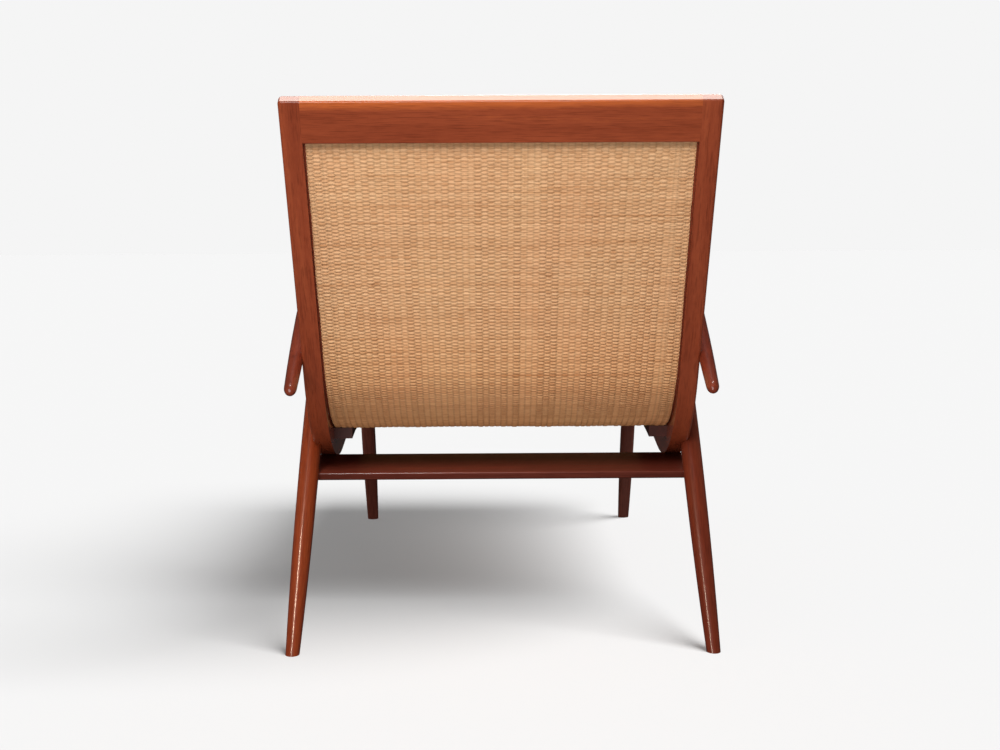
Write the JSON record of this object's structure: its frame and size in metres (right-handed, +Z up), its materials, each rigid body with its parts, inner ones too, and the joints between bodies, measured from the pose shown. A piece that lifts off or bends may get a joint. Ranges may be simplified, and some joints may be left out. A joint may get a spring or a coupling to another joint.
{
  "type": "chaise longue",
  "caption": "Reclined wooden chaise longue: bent side rails, one woven cane sling for back and seat, raked tapered legs that rise to slim arms with down-swept rear tips.",
  "frame": {"origin": "floor level, at the centre of the bounding box seen from above", "axes": "+Z up, +Y towards the foot end that a sitter faces, +X towards the sitter's right"},
  "size_m": [0.7056, 1.4712, 0.8746],
  "materials": {
    "frame_wood": "polished reddish brown hardwood",
    "top_wood": "polished reddish brown hardwood, straight grain",
    "board_wood": "polished dark reddish brown hardwood",
    "leg_wood": "polished reddish brown hardwood",
    "arm_wood": "polished reddish brown hardwood",
    "bearer_wood": "oiled dark hardwood",
    "slip_wood": "oiled hardwood",
    "woven_cane": "natural woven cane, satin",
    "screw_brass": "aged brass"
  },
  "bodies": {
    "root": {"side_rail_left": "frame_wood", "side_rail_right": "frame_wood", "top_rail": "top_wood", "front_rail": "top_wood", "rear_cross_board": "board_wood", "front_cross_rail": "board_wood", "rear_leg_left": "leg_wood", "rear_leg_right": "leg_wood", "front_leg_left": "leg_wood", "front_leg_right": "leg_wood", "arm_left": "arm_wood", "arm_right": "arm_wood", "seat_bearer_left": "bearer_wood", "seat_bearer_right": "bearer_wood", "slip_bar_left": "slip_wood", "slip_bar_right": "slip_wood", "slip_head_bar": "slip_wood", "slip_foot_bar": "slip_wood", "woven_sling": "woven_cane", "bearer_screws": "screw_brass", "board_screws": "screw_brass"}
  },
  "joints": []
}
